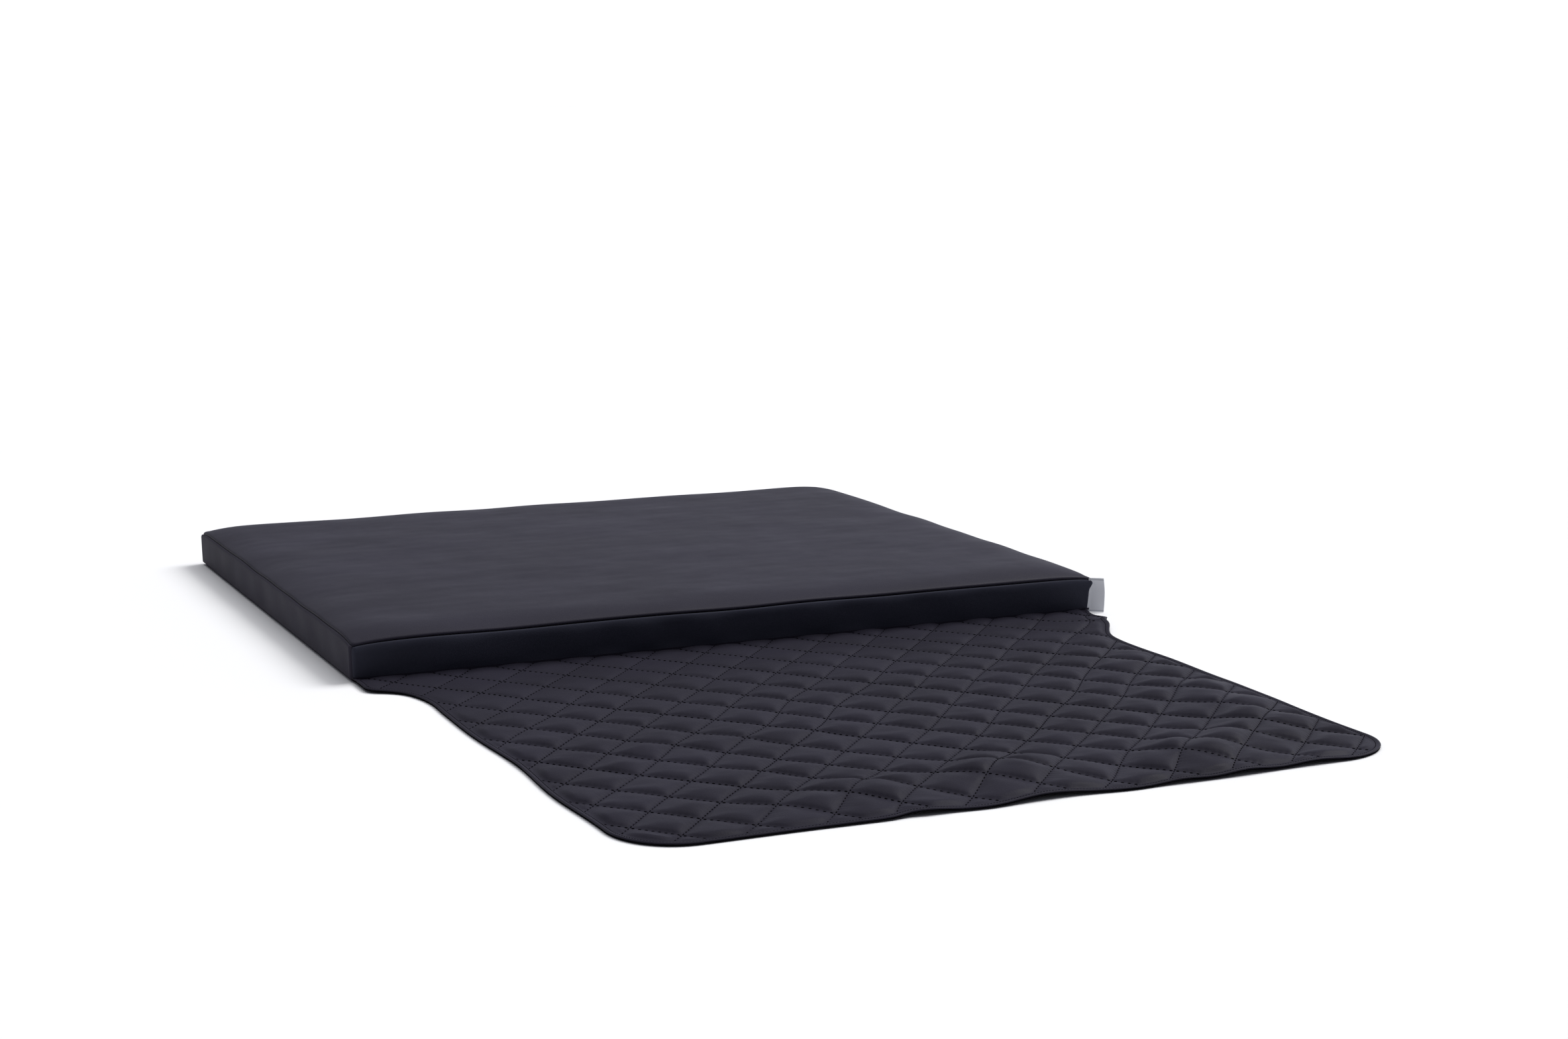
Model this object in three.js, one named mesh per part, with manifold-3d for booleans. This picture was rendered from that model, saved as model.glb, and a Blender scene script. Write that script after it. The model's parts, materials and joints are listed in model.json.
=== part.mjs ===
// A foam floor mat in a zipped leatherette cover, with a quilted apron that folds out from its
// bottom front seam. Millimetres. The origin is the middle of the mattress's underside, +X runs
// along the front edge, -Y points out over the apron and +Z is up.
import * as THREE from "three";
import { mergeVertices } from "three/addons/utils/BufferGeometryUtils.js";
import Module from "manifold-3d";

// Driving dimensions of the mattress
const WIDTH = 1000;
const DEPTH = 832;
const SEAM_HEIGHT = 49; // underside to the top seam
const CROWN = 8; // rise of the top panel a short way inside its seam
const CROWN_RUN = 70; // distance from the seam at which that rise is complete
const DOME = 2.5; // further slow rise towards the middle
const COVER = 1.6; // leatherette with its lining
const BULGE = 2; // how far a side panel bellies out at mid height
const FOAM_INSET = 5; // room between the foam's sides and the cover's outside
const WADDING = 6;
const BASE = 3.6;
const BASE_INSET = 2.5;
const GAP = 0.3;
const CROWN_GAP = 0.6; // between the crowned layers, whose flat facets don't quite follow each other

// Driving dimensions of the apron
const RISER = 76; // from the low fold to the high fold
const REACH = 771; // mattress front to the apron's free edge
const RISER_HALF_WIDTH = 498;
const APRON_HALF_WIDTH = 443;
const SHOULDER = 55; // distance from the mattress at which the apron starts to narrow
const SHOULDER_RUN = 95;
const CORNER_RADIUS = 75;
const BACKING = 0.8;
const FILLING = 2.4;
const FACE = 1.2;
const SEAM_STRIP = 2.4;
const SEAM_ALLOWANCE = 18;
const SEAM_RELIEF = 50; // width along the front over which the foam clears the sewn-in strip

// Driving dimensions of the zip in the back panel
const ZIP_HEIGHT = 24;
const ZIP_LENGTH = 880;
const ZIP_SLOT = 10.4; // open height between the strips beside the zip
const TAPE_WIDTH = 12;
const COIL_WIDTH = 2.85;

const FRONT = -DEPTH / 2;
const BACK = DEPTH / 2;
const LOW_FOLD = { y: FRONT - 3.5, z: 5 };
const HIGH_FOLD = { y: LOW_FOLD.y - RISER, z: 2.45 };
const LOW_CLEAR = 1.5; // space between a fold's axis and the sheet beside it
const HIGH_CLEAR = 2.7;

const leatherette = new THREE.MeshStandardMaterial({ color: 0x42414a, roughness: 0.5 });
const quiltedFace = new THREE.MeshStandardMaterial({ color: 0x3b3a43, roughness: 0.5 });
const lining = new THREE.MeshStandardMaterial({ color: 0x1b1c20, roughness: 0.9 });
const fleece = new THREE.MeshStandardMaterial({ color: 0xe6e4de, roughness: 0.95 });
const foam = new THREE.MeshStandardMaterial({ color: 0xd9d6c8, roughness: 0.95 });
const nylon = new THREE.MeshStandardMaterial({ color: 0x141519, roughness: 0.6 });
const zipMetal = new THREE.MeshStandardMaterial({ color: 0x2b2c30, roughness: 0.35, metalness: 0.9 });
const woven = new THREE.MeshStandardMaterial({ color: 0xa9abb2, roughness: 0.8 });

const clamp = THREE.MathUtils.clamp;
const wasm = await Module();
wasm.setup();

const mat = new THREE.Group();

function add(name, geometry, material) {
  const mesh = new THREE.Mesh(geometry, material);
  mesh.name = name;
  mat.add(mesh);
  return mesh;
}

// A closed body cut into columns along u and rows along v, whose points (u, v, w), all from 0 to 1,
// go to place(u, v, w). Both faces split their quads along the same diagonal, so that layers nest.
function panel(columns, rows, place) {
  const points = [];
  const index = [];
  const at = (i, j, k) => (k * (rows + 1) + j) * (columns + 1) + i;
  const quad = (a, b, c, d) => index.push(a, b, c, a, c, d);
  for (let k = 0; k <= 1; k++) {
    for (let j = 0; j <= rows; j++) {
      for (let i = 0; i <= columns; i++) {
        points.push(...place(i / columns, j / rows, k));
      }
    }
  }
  for (let i = 0; i < columns; i++) {
    for (let j = 0; j < rows; j++) {
      quad(at(i, j, 1), at(i + 1, j, 1), at(i + 1, j + 1, 1), at(i, j + 1, 1));
      quad(at(i, j, 0), at(i, j + 1, 0), at(i + 1, j + 1, 0), at(i + 1, j, 0));
    }
    quad(at(i, 0, 0), at(i + 1, 0, 0), at(i + 1, 0, 1), at(i, 0, 1));
    quad(at(i + 1, rows, 0), at(i, rows, 0), at(i, rows, 1), at(i + 1, rows, 1));
  }
  for (let j = 0; j < rows; j++) {
    quad(at(0, j + 1, 0), at(0, j, 0), at(0, j, 1), at(0, j + 1, 1));
    quad(at(columns, j, 0), at(columns, j + 1, 0), at(columns, j + 1, 1), at(columns, j, 1));
  }
  const geometry = new THREE.BufferGeometry();
  geometry.setAttribute("position", new THREE.Float32BufferAttribute(points, 3));
  geometry.setIndex(index);
  geometry.computeVertexNormals();
  return geometry;
}

function mix(low, high, share) {
  return low + (high - low) * share;
}

// Moves evenly spaced cuts closer together towards both ends.
function crowd(share) {
  return (1 - Math.cos(Math.PI * share)) / 2;
}

function block(low, high) {
  const [width, depth, height] = high.map((value, axis) => value - low[axis]);
  const geometry = new THREE.BoxGeometry(width, depth, height);
  geometry.translate(low[0] + width / 2, low[1] + depth / 2, low[2] + height / 2);
  return geometry;
}

// Mattress: height of the top panel's outside over the underside
function rise(distance) {
  return 1 - (1 - Math.min(1, Math.max(0, distance) / CROWN_RUN)) ** 2.4;
}

function topHeight(x, y) {
  const halfWidth = WIDTH / 2;
  const halfDepth = DEPTH / 2;
  const crown = CROWN * rise(halfWidth - Math.abs(x)) * rise(halfDepth - Math.abs(y));
  const dome = DOME * (1 - (x / halfWidth) ** 2) * (1 - (y / halfDepth) ** 2);
  return SEAM_HEIGHT + crown + dome;
}

// A layer under the top panel, inset from its edge and between two depths below its outside
function crownedLayer(inset, bottom, depth) {
  return panel(16, 14, (u, v, w) => {
    const x = clamp(mix(-WIDTH / 2, WIDTH / 2, crowd(u)), inset - WIDTH / 2, WIDTH / 2 - inset);
    const y = clamp(mix(FRONT, BACK, crowd(v)), FRONT + inset, BACK - inset);
    return [x, y, w < 0.5 ? bottom(x, y) : topHeight(x, y) - depth];
  });
}

function addTop() {
  const underTop = COVER + CROWN_GAP;
  const underWadding = underTop + WADDING + CROWN_GAP;
  const relief = (y) => (y < FRONT + SEAM_RELIEF ? SEAM_STRIP + 2 * GAP : 0);
  const foamFloor = (x, y) => BASE + GAP + relief(y);
  add("top_panel", crownedLayer(0, (x, y) => topHeight(x, y) - COVER, 0), leatherette);
  add("core_wadding", crownedLayer(FOAM_INSET, (x, y) => topHeight(x, y) - underTop - WADDING, underTop), fleece);
  add("foam_core", crownedLayer(FOAM_INSET, foamFloor, underWadding), foam);
}

function addBase() {
  const halfWidth = WIDTH / 2 - BASE_INSET;
  const halfDepth = DEPTH / 2 - BASE_INSET;
  const radius = 10;
  const outline = new THREE.Shape();
  outline.absarc(halfWidth - radius, halfDepth - radius, radius, 0, Math.PI / 2);
  outline.absarc(radius - halfWidth, halfDepth - radius, radius, Math.PI / 2, Math.PI);
  outline.absarc(radius - halfWidth, radius - halfDepth, radius, Math.PI, 1.5 * Math.PI);
  outline.absarc(halfWidth - radius, radius - halfDepth, radius, 1.5 * Math.PI, 2 * Math.PI);
  const options = { depth: BASE, bevelEnabled: false, curveSegments: 6 };
  add("base_panel", new THREE.ExtrudeGeometry(outline, options), lining);
}

// A side panel standing along +X with its outside towards -Y, mitred at both ends
function sidePanel(length, bottom, top, bulge) {
  return panel(10, 4, (u, v, w) => {
    const inward = (1 - w) * COVER;
    const x = (2 * u - 1) * (length / 2 - GAP - inward);
    const ends = 1 - (2 * u - 1) ** 6;
    return [x, inward - bulge * ends * Math.sin(Math.PI * v), mix(bottom, top, v)];
  });
}

function addGussets() {
  const bottom = BASE + GAP;
  const frontBottom = bottom + SEAM_STRIP + GAP;
  const top = SEAM_HEIGHT - COVER - GAP;
  const front = add("front_gusset", sidePanel(WIDTH, frontBottom, top, BULGE), leatherette);
  front.position.set(0, FRONT, 0);
  const left = add("left_gusset", sidePanel(DEPTH, bottom, top, BULGE), leatherette);
  left.position.set(-WIDTH / 2, 0, 0);
  left.rotation.z = -Math.PI / 2;
  const right = add("right_gusset", sidePanel(DEPTH, bottom, top, BULGE), leatherette);
  right.position.set(WIDTH / 2, 0, 0);
  right.rotation.z = Math.PI / 2;
  addBackGusset(bottom, top);
}

// The back side is pieced: a strip above and a strip below the zip, and an end piece at each corner
function addBackGusset(bottom, top) {
  const inside = BACK - COVER;
  const slotLow = ZIP_HEIGHT - ZIP_SLOT / 2;
  const slotHigh = ZIP_HEIGHT + ZIP_SLOT / 2;
  const half = ZIP_LENGTH / 2;
  add("back_gusset_lower_strip", block([-half, inside, bottom], [half, BACK, slotLow]), leatherette);
  add("back_gusset_upper_strip", block([-half, inside, slotHigh], [half, BACK, top]), leatherette);
  for (const [name, side] of [["left", -1], ["right", 1]]) {
    const geometry = panel(1, 1, (u, v, w) => {
      const y = mix(BACK, inside, w);
      const outer = side * (WIDTH / 2 - GAP - (BACK - y));
      const inner = side * (half + GAP);
      return [mix(Math.min(inner, outer), Math.max(inner, outer), u), y, mix(bottom, top, v)];
    });
    add(`back_gusset_${name}_end`, geometry, leatherette);
  }
}

function addZip() {
  const half = ZIP_LENGTH / 2;
  const tapeOutside = BACK - COVER - GAP;
  const tapeInside = tapeOutside - 1;
  const coilInside = tapeOutside + GAP;
  const split = GAP / 2;
  for (const [name, side] of [["lower", -1], ["upper", 1]]) {
    const tapeEdges = [split, TAPE_WIDTH].map((offset) => ZIP_HEIGHT + side * offset).sort((a, b) => a - b);
    const tape = block([-half, tapeInside, tapeEdges[0]], [half, tapeOutside, tapeEdges[1]]);
    add(`zip_tape_${name}`, tape, nylon);
    const coil = new THREE.ExtrudeGeometry(coilSection(), { depth: 2 * half - 20, bevelEnabled: false });
    const mesh = add(`zip_coil_${name}`, coil, nylon);
    mesh.position.set(10 - half, coilInside, ZIP_HEIGHT + side * (split + COIL_WIDTH / 2));
    mesh.rotation.y = Math.PI / 2;
  }
  for (const [name, side] of [["left", -1], ["right", 1]]) {
    const middle = side * (half - 6);
    const stop = block([middle - 1.5, coilInside, ZIP_HEIGHT - 3.2], [middle + 1.5, coilInside + 2, ZIP_HEIGHT + 3.2]);
    add(`zip_stop_${name}`, stop, zipMetal);
  }
}

// Half a zip's teeth as one D-shaped bar, lying on the tape
function coilSection() {
  const half = COIL_WIDTH / 2;
  const section = new THREE.Shape();
  section.moveTo(-half, 0);
  section.lineTo(half, 0);
  section.lineTo(half, 1.3);
  section.lineTo(half - 0.8, 2);
  section.lineTo(0.8 - half, 2);
  section.lineTo(-half, 1.3);
  section.closePath();
  return section;
}

function manifold(geometry) {
  const bare = geometry.clone();
  bare.deleteAttribute("normal");
  bare.deleteAttribute("uv");
  const merged = mergeVertices(bare, 1e-4);
  const vertProperties = new Float32Array(merged.attributes.position.array);
  const triVerts = new Uint32Array(merged.index.array);
  return new wasm.Manifold(new wasm.Mesh({ numProp: 3, vertProperties, triVerts }));
}

function joined(first, second) {
  const mesh = manifold(first).add(manifold(second)).getMesh();
  const geometry = new THREE.BufferGeometry();
  geometry.setAttribute("position", new THREE.BufferAttribute(mesh.vertProperties, 3));
  geometry.setIndex(new THREE.BufferAttribute(mesh.triVerts, 1));
  geometry.computeVertexNormals();
  return geometry;
}

// The slider's outer wing with a flange each side of the teeth, and the bridge that holds its pull.
// Both are drawn about the middle of the teeth: x along the zip, y out of the back, z up.
const SLIDER_X = ZIP_LENGTH / 2 - 18;
const WING_FACE = BACK + 2.1;
const WING = 1.2;
const PIVOT_HEIGHT = 1; // pull's axis over the wing
const BAR = 0.5; // half the thickness of the pull

function sliderWing() {
  const section = new THREE.Shape();
  section.moveTo(-4.4, WING);
  section.lineTo(-4.4, -2);
  section.lineTo(-3.6, -2);
  section.lineTo(-3.6, 0);
  section.lineTo(3.6, 0);
  section.lineTo(3.6, -2);
  section.lineTo(4.4, -2);
  section.lineTo(4.4, WING);
  section.closePath();
  const geometry = new THREE.ExtrudeGeometry(section, { depth: 11, bevelEnabled: false });
  geometry.translate(0, 0, -5.5);
  geometry.rotateY(Math.PI / 2);
  return geometry;
}

function sliderBridge() {
  const section = new THREE.Shape();
  section.moveTo(-3.6, WING - 0.2);
  section.lineTo(-2.6, WING - 0.2);
  section.lineTo(-2.6, WING + 1.9);
  section.lineTo(2.6, WING + 1.9);
  section.lineTo(2.6, WING - 0.2);
  section.lineTo(3.6, WING - 0.2);
  section.lineTo(3.6, WING + 2);
  section.lineTo(2.8, WING + 2.8);
  section.lineTo(-2.8, WING + 2.8);
  section.lineTo(-3.6, WING + 2);
  section.closePath();
  const geometry = new THREE.ExtrudeGeometry(section, { depth: 2, bevelEnabled: false });
  geometry.translate(0, 0, -1);
  return geometry;
}

// A flat tab with a window, whose end bar passes under the bridge
function pullTab() {
  const outline = new THREE.Shape();
  outline.moveTo(BAR, -2.8);
  outline.lineTo(BAR, 2.8);
  outline.lineTo(-7, 2.8);
  outline.lineTo(-22, 3.6);
  outline.absarc(-22, 0, 3.6, Math.PI / 2, 1.5 * Math.PI);
  outline.lineTo(-7, -2.8);
  outline.closePath();
  const window = new THREE.Path();
  window.moveTo(-BAR, -1.5);
  window.lineTo(-5.5, -1.5);
  window.lineTo(-5.5, 1.5);
  window.lineTo(-BAR, 1.5);
  window.closePath();
  outline.holes.push(window);
  const geometry = new THREE.ExtrudeGeometry(outline, { depth: 2 * BAR, bevelEnabled: false, curveSegments: 6 });
  geometry.translate(0, 0, -BAR);
  geometry.rotateX(Math.PI / 2);
  return geometry;
}

function addSlider() {
  const slider = add("zip_slider", joined(sliderWing(), sliderBridge()), zipMetal);
  slider.position.set(SLIDER_X, WING_FACE - WING, ZIP_HEIGHT);
  const pull = add("zip_pull", pullTab(), zipMetal);
  pull.position.set(SLIDER_X, WING_FACE + PIVOT_HEIGHT, ZIP_HEIGHT);
}

// A folded woven label in the vertical seam at the front right corner
function addLabel() {
  const inner = WIDTH / 2 + GAP;
  add("side_label", block([inner, FRONT - 0.4, 3], [inner + 19, FRONT + 0.4, 48]), woven);
}

// Apron: half its width at a distance out from the mattress
function apronHalfWidth(distance) {
  const along = Math.min(1, Math.max(0, (distance - SHOULDER) / SHOULDER_RUN));
  const shoulder = mix(APRON_HALF_WIDTH, RISER_HALF_WIDTH, (1 - along) ** 2.6);
  const past = Math.max(0, distance - (REACH - CORNER_RADIUS));
  const corner = CORNER_RADIUS - Math.sqrt(Math.max(0, CORNER_RADIUS ** 2 - past ** 2));
  return shoulder - corner;
}

// Soft humps in the sheet as it lies: x, distance out, length along x, length outwards, height
const HUMPS = [
  [-35, 655, 90, 60, 6],
  [70, 590, 80, 70, 5],
  [160, 680, 60, 55, 5.5],
  [290, 625, 80, 60, 6],
  [380, 470, 70, 80, 4],
  [370, 290, 80, 70, 4],
  [-300, 420, 160, 50, 2.5],
];

function lift(x, distance) {
  const calm = Math.min(1, Math.max(0, (distance - 110) / 80));
  const hump = ([x0, d0, lengthX, lengthD, height]) =>
    height * Math.exp(-(((x - x0) / lengthX) ** 2) - ((distance - d0) / lengthD) ** 2);
  return calm * HUMPS.reduce((sum, each) => sum + hump(each), 0);
}

// One layer of the apron between two distances out, its underside at the given height
function apronLayer(near, far, columns, rows, bottom, thickness) {
  return panel(columns, rows, (u, v, w) => {
    const distance = mix(far, near, crowd(v));
    const x = mix(-1, 1, u) * apronHalfWidth(distance);
    return [x, FRONT - distance, bottom + lift(x, distance) + w * thickness];
  });
}

function addApron() {
  const layers = [
    ["backing", 0, BACKING, lining],
    ["wadding", BACKING + GAP, FILLING, fleece],
    ["face", BACKING + FILLING + 2 * GAP, FACE, quiltedFace],
  ];
  const low = FRONT - LOW_FOLD.y;
  const high = FRONT - HIGH_FOLD.y;
  for (const [name, bottom, thickness, material] of layers) {
    const riser = apronLayer(low + LOW_CLEAR, high - HIGH_CLEAR, 6, 5, bottom, thickness);
    add(`riser_${name}`, riser, material);
    add(`apron_${name}`, apronLayer(high + HIGH_CLEAR, REACH, 14, 16, bottom, thickness), material);
  }
  const stripBottom = BASE + GAP;
  const strip = block(
    [-RISER_HALF_WIDTH, FRONT - 1, stripBottom],
    [RISER_HALF_WIDTH, FRONT + SEAM_ALLOWANCE, stripBottom + SEAM_STRIP],
  );
  add("apron_seam_strip", strip, quiltedFace);
}

addTop();
addBase();
addGussets();
addZip();
addSlider();
addLabel();
addApron();

export default mat;
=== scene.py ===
"""A padded floor mat with a fold-out quilted apron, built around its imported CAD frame.

Everything is in metres in the frame of the CAD model: +X along the mattress's front edge, -Y out over
the apron, +Z up. Small lengths are written as multiples of MM. The apron is drawn first as its flat
pattern, x across and d outwards from the mattress's front, and then laid out with lay() and lift().
"""
import json
import math

import bpy
import numpy as np
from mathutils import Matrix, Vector


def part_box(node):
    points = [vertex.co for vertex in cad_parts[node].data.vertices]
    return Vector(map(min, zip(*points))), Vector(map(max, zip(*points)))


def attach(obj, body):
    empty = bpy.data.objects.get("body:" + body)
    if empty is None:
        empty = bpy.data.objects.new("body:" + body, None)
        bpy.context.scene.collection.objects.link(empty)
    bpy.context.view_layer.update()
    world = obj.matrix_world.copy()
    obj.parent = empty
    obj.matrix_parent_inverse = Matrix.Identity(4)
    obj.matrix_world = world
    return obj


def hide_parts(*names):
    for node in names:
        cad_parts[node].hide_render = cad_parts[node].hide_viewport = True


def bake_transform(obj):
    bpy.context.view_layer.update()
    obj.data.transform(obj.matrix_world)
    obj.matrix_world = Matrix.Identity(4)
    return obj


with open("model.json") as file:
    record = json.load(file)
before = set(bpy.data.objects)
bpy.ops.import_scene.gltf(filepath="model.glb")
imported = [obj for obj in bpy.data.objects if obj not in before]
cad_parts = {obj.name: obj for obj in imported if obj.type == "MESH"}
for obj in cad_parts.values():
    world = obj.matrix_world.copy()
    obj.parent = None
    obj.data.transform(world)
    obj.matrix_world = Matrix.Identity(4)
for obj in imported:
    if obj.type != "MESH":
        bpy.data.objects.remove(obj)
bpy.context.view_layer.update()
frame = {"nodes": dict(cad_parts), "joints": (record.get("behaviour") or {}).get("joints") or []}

MM = 0.001

# Places taken from the frame
TOP_LOW, TOP_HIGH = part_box("top_panel")
BASE_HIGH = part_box("base_panel")[1]
HALF_WIDTH = TOP_HIGH.x
FRONT = TOP_LOW.y
BACK = TOP_HIGH.y
SEAM = TOP_LOW.z + 1.6 * MM
JOINTS = {joint["name"]: joint for joint in frame["joints"]}
LOW_FOLD = Vector(JOINTS["apron_low_fold"]["pos_m"])
HIGH_FOLD = Vector(JOINTS["apron_high_fold"]["pos_m"])
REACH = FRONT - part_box("apron_face")[0].y  # how far out the apron lies
RISER_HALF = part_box("riser_face")[1].x  # half the apron's width by the mattress
APRON_HALF = 443 * MM  # and beyond its neck


# ---------------------------------------------------------------- meshes

def grid_faces(rows, columns):
    """Quads over a grid of vertices numbered row by row."""
    corner = (np.arange(rows - 1)[:, None] * columns + np.arange(columns - 1)).ravel()
    return np.stack([corner, corner + 1, corner + columns + 1, corner + columns], 1)


def make_piece(name, points, faces, material, flat=None):
    """A smooth-shaded mesh object. flat, where given, is the flat pattern in metres, kept as its UV map."""
    points = np.asarray(points, np.float32).reshape(-1, 3)
    mesh = bpy.data.meshes.new(name)
    mesh.vertices.add(len(points))
    mesh.vertices.foreach_set("co", points.ravel())
    mesh.loops.add(faces.size)
    mesh.loops.foreach_set("vertex_index", faces.astype(np.int32).ravel())
    mesh.polygons.add(len(faces))
    mesh.polygons.foreach_set("loop_start", np.arange(0, faces.size, faces.shape[1], dtype=np.int32))
    mesh.update(calc_edges=True)
    mesh.polygons.foreach_set("use_smooth", np.ones(len(faces), bool))
    if flat is not None:
        layer = mesh.uv_layers.new(name="flat")
        layer.data.foreach_set("uv", np.asarray(flat, np.float32)[faces.ravel()].ravel())
    mesh.materials.append(material)
    piece = bpy.data.objects.new(name, mesh)
    bpy.context.scene.collection.objects.link(piece)
    return piece


def ripple(x, y, length, seed, stretch=(1, 1), waves=18):
    """Smooth noise with a spread of about 1: a sum of plane waves of about the given length."""
    rng = np.random.default_rng(seed)
    total = np.zeros(np.broadcast(x, y).shape)
    for _ in range(waves):
        angle = rng.uniform(0, 2 * np.pi)
        turns = 2 * np.pi / length * rng.uniform(0.6, 1.5)
        phase = rng.uniform(0, 2 * np.pi)
        total += np.cos(turns * (np.cos(angle) * x / stretch[0] + np.sin(angle) * y / stretch[1]) + phase)
    return total / math.sqrt(waves / 2)


def bump(x, y, spot, size):
    """A rounded hump of height 1 at spot, falling off over size along x and y."""
    return np.exp(-((x - spot[0]) / size[0]) ** 2 - ((y - spot[1]) / size[1]) ** 2)


def smooth(low, high, value):
    """Goes smoothly from 0 at low to 1 at high, which may be below low."""
    share = np.clip((value - low) / (high - low), 0, 1)
    return share * share * (3 - 2 * share)


# ---------------------------------------------------------------- materials

def linear(*values):
    """Linear colour of an sRGB colour given as 0 to 255."""
    return [(v / 255 / 12.92) if v < 10.3 else ((v / 255 + 0.055) / 1.055) ** 2.4 for v in values] + [1]


class Nodes:
    """Short names for making a material's nodes."""

    def __init__(self, name):
        self.material = bpy.data.materials.new(name)
        self.material.use_nodes = True
        self.tree = self.material.node_tree
        self.surface = self.tree.nodes["Principled BSDF"]

    def add(self, kind, inputs=None, **settings):
        node = self.tree.nodes.new(kind)
        for key, value in settings.items():
            setattr(node, key, value)
        for key, value in (inputs or {}).items():
            self.put(node, key, value)
        return node

    def put(self, node, key, value):
        if isinstance(value, bpy.types.NodeSocket):
            self.tree.links.new(value, node.inputs[key])
        else:
            node.inputs[key].default_value = value

    def math(self, operation, a, b=0.0, c=0.0):
        return self.add("ShaderNodeMath", {0: a, 1: b, 2: c}, operation=operation).outputs[0]

    def ramp(self, value, low, high):
        return self.add("ShaderNodeMapRange", {"Value": value, "From Min": low, "From Max": high},
                        interpolation_type="SMOOTHSTEP").outputs[0]

    def mix_colour(self, factor, a, b):
        node = self.add("ShaderNodeMix", data_type="RGBA")
        self.put(node, "Factor", factor)
        self.put(node, 6, a)
        self.put(node, 7, b)
        return node.outputs[2]

    def noise(self, where, scale, detail):
        return self.add("ShaderNodeTexNoise", {"Vector": where, "Scale": scale, "Detail": detail}).outputs[0]

    def bump(self, height, distance, strength=1.0, under=None):
        node = self.add("ShaderNodeBump", {"Height": height, "Distance": distance, "Strength": strength})
        if under is not None:
            self.put(node, "Normal", under)
        return node.outputs[0]


def leatherette(name, colour, darker, specular, roughness=0.5):
    """Soft synthetic leather: fine pebbled grain, faint creases and slow changes of tone."""
    n = Nodes(name)
    grain = 0.12 * MM
    where = n.add("ShaderNodeTexCoord").outputs["Object"]
    cells = n.add("ShaderNodeTexVoronoi", {"Vector": where, "Scale": 900.0}, feature="SMOOTH_F1")
    pebbles = cells.outputs["Distance"]
    fine = n.noise(where, 1600.0, 2.0)
    creases = n.noise(where, 60.0, 6.0)
    tone = n.noise(where, 7.0, 4.0)
    normal = n.bump(pebbles, grain)
    normal = n.bump(fine, grain * 0.5, under=normal)
    normal = n.bump(creases, 0.35 * MM, 0.6, under=normal)
    n.put(n.surface, "Base Color", n.mix_colour(n.ramp(tone, 0.3, 0.7), linear(*darker), linear(*colour)))
    rough = n.math("MULTIPLY_ADD", n.noise(where, 25.0, 5.0), 0.14, roughness - 0.07)
    n.put(n.surface, "Roughness", rough)
    n.surface.inputs["Specular IOR Level"].default_value = specular
    n.surface.inputs["Sheen Weight"].default_value = 0.03
    n.surface.inputs["Sheen Roughness"].default_value = 0.5
    n.put(n.surface, "Normal", normal)
    return n.material


def woven_cloth(name, colour, darker, pitch):
    """Plain woven cloth with a thread every pitch."""
    n = Nodes(name)
    where = n.add("ShaderNodeTexCoord").outputs["Object"]
    parts = n.add("ShaderNodeSeparateXYZ", {"Vector": where}).outputs
    turns = 2 * math.pi / pitch
    across = n.math("SINE", n.math("MULTIPLY", n.math("ADD", parts[0], parts[2]), turns))
    along = n.math("SINE", n.math("MULTIPLY", parts[1], turns))
    weave = n.math("MULTIPLY", across, along)
    blotch = n.noise(where, 40.0, 5.0)
    n.put(n.surface, "Base Color", n.mix_colour(n.ramp(blotch, 0.35, 0.65), linear(*darker), linear(*colour)))
    n.put(n.surface, "Roughness", n.math("MULTIPLY_ADD", blotch, 0.1, 0.8))
    n.surface.inputs["Specular IOR Level"].default_value = 0.0
    n.put(n.surface, "Normal", n.bump(weave, 0.12 * MM))
    return n.material


def thread_material(name, colour):
    """Dull plastic fibre, for sewing thread and zip teeth."""
    n = Nodes(name)
    where = n.add("ShaderNodeTexCoord").outputs["Object"]
    fibre = n.noise(where, 3000.0, 2.0)
    n.put(n.surface, "Base Color", n.mix_colour(fibre, linear(*[0.6 * v for v in colour]), linear(*colour)))
    n.surface.inputs["Roughness"].default_value = 0.85
    n.surface.inputs["Specular IOR Level"].default_value = 0.02
    n.put(n.surface, "Normal", n.bump(fibre, 0.05 * MM))
    return n.material


def metal(name, colour, roughness):
    """Dark lacquered metal, a little worn."""
    n = Nodes(name)
    where = n.add("ShaderNodeTexCoord").outputs["Object"]
    wear = n.noise(where, 400.0, 5.0)
    worn = linear(*[1.5 * v for v in colour])
    n.put(n.surface, "Base Color", n.mix_colour(n.ramp(wear, 0.4, 0.8), linear(*colour), worn))
    n.surface.inputs["Metallic"].default_value = 0.8
    n.put(n.surface, "Roughness", n.math("MULTIPLY_ADD", wear, 0.2, roughness - 0.1))
    n.put(n.surface, "Normal", n.bump(wear, 0.03 * MM))
    return n.material


COVER = leatherette("cover_leatherette", (40, 38, 49), (36, 34, 44), 0.07)
# The front and flank sides are the top's leatherette in lighter copies. This is painted light: their colour
# is lighter than the top's to stand in for how light falls on the sides.
COVER_SIDE_PAINTED_LIGHT = leatherette("side_leatherette_painted_light", (52, 53, 64), (48, 49, 59), 0.02, roughness=0.6)
COVER_FLANK_PAINTED_LIGHT = leatherette("flank_leatherette_painted_light", (54, 52, 62), (49, 47, 56), 0.02, roughness=0.6)
QUILT = leatherette("quilted_leatherette", (36, 34, 45), (32, 30, 40), 0.05)
BACKING = woven_cloth("backing_cloth", (24, 24, 27), (16, 16, 19), pitch=0.9 * MM)
THREAD = thread_material("sewing_thread", (6, 6, 8))
NYLON = thread_material("zip_nylon", (44, 44, 49))
TAPE = woven_cloth("zip_tape_cloth", (24, 24, 28), (18, 18, 21), pitch=0.7 * MM)
METAL = metal("zip_metal", (40, 40, 44), 0.35)


# ---------------------------------------------------------------- mattress cover

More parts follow.
